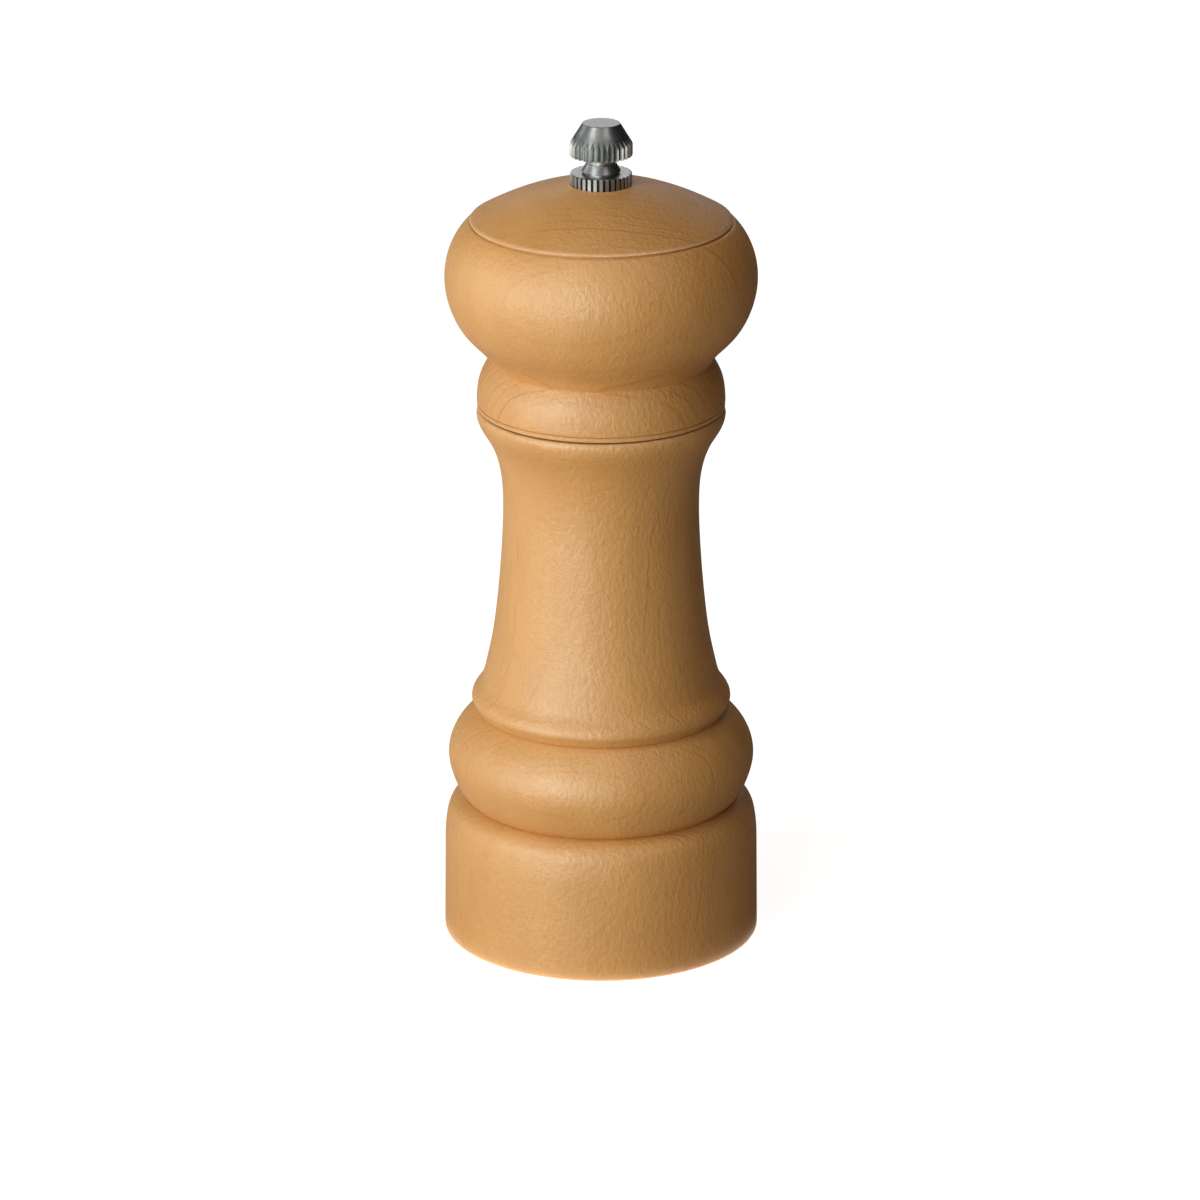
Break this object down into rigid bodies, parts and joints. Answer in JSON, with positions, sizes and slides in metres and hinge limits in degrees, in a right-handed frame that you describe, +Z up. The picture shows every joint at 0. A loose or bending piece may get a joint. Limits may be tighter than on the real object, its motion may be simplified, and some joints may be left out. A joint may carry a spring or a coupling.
{
  "type": "pepper mill",
  "caption": "Turned wooden pepper mill with a bulbous head, waisted body, round foot and a knurled steel adjusting knob over a conical burr grinder.",
  "frame": {"origin": "centre of the base, on the table", "axes": "+Z up along the turning axis, from the foot to the knob; +X through one housing screw"},
  "size_m": [0.0566, 0.0566, 0.15],
  "materials": {
    "turned_wood": "satin oil on fine, close-grained wood",
    "knob_steel": "satin turned steel, knurled by cutting",
    "plain_steel": "bright zinc-plated steel",
    "burr_steel": "hardened, dark, matte",
    "housing_plastic": "moulded nylon, fine texture"
  },
  "bodies": {
    "mill_body": {"wood_body": "turned_wood", "grinder_housing": "housing_plastic", "stator_ring": "burr_steel", "bridge": "plain_steel", "bridge_screws": "plain_steel", "housing_screws": "plain_steel"},
    "thrust_washer": {"thrust_washer": "plain_steel", "spring": "plain_steel"},
    "shaft": {"drive_shaft": "plain_steel", "shaft_clip": "plain_steel", "rotor_core": "housing_plastic", "rotor_burr": "burr_steel", "rotor_washer": "plain_steel", "rotor_nut": "plain_steel"},
    "head": {"wood_head": "turned_wood", "top_ferrule": "knob_steel", "drive_plate": "plain_steel", "drive_plate_screws": "plain_steel"},
    "knob_washer": {"knob_washer": "plain_steel"},
    "knob": {"adjusting_knob": "knob_steel"}
  },
  "joints": [
    {"name": "grind_turn", "type": "hinge", "parent": "mill_body", "child": "thrust_washer", "pos_m": [0, 0, 0.0276], "axis": [0, 0, 1], "continuous": true},
    {"name": "grind_gap", "type": "slide", "parent": "thrust_washer", "child": "shaft", "axis": [0, 0, 1], "range_m": [-0.00125, 0], "deforming": ["spring"]},
    {"name": "head_lift", "type": "slide", "parent": "thrust_washer", "child": "head", "axis": [0, 0, 1], "range_m": [0, 0.065]},
    {"name": "knob_turn", "type": "hinge", "parent": "head", "child": "knob_washer", "pos_m": [0, 0, 0.1412], "axis": [0, 0, 1], "range_deg": [0, 900]},
    {"name": "knob_lift", "type": "slide", "parent": "knob_washer", "child": "knob", "axis": [0, 0, 1], "range_m": [0, 0.02]}
  ],
  "couplings": [
    {"joint": "knob_turn", "follows": "grind_gap", "rad_per_m": -12566}
  ]
}
